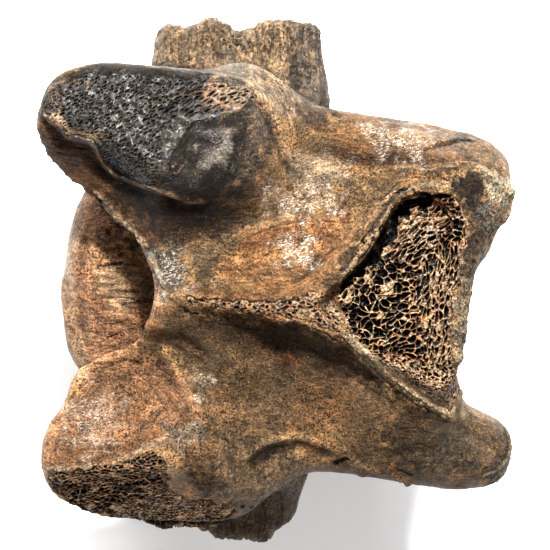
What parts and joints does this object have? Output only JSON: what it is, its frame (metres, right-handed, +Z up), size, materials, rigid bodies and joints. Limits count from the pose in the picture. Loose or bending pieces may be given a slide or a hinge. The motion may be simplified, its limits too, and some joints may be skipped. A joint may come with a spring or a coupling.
{
  "type": "fossil bison cervical vertebra",
  "caption": "Fossil neck vertebra of a bison, life size, with worn articular processes and a broken spine that shows spongy bone.",
  "frame": {"origin": "middle of the bounding box, on the surface the bone lies on", "axes": "+Z up and dorsal, +X towards the tail, +Y to the animal's right"},
  "size_m": [0.1302, 0.1426, 0.1061],
  "materials": {
    "vertebra": "mottled brown fossil bone with charcoal and orange stains, partly glossed with consolidant"
  },
  "bodies": {
    "root": {"vertebra": "vertebra"}
  },
  "joints": []
}
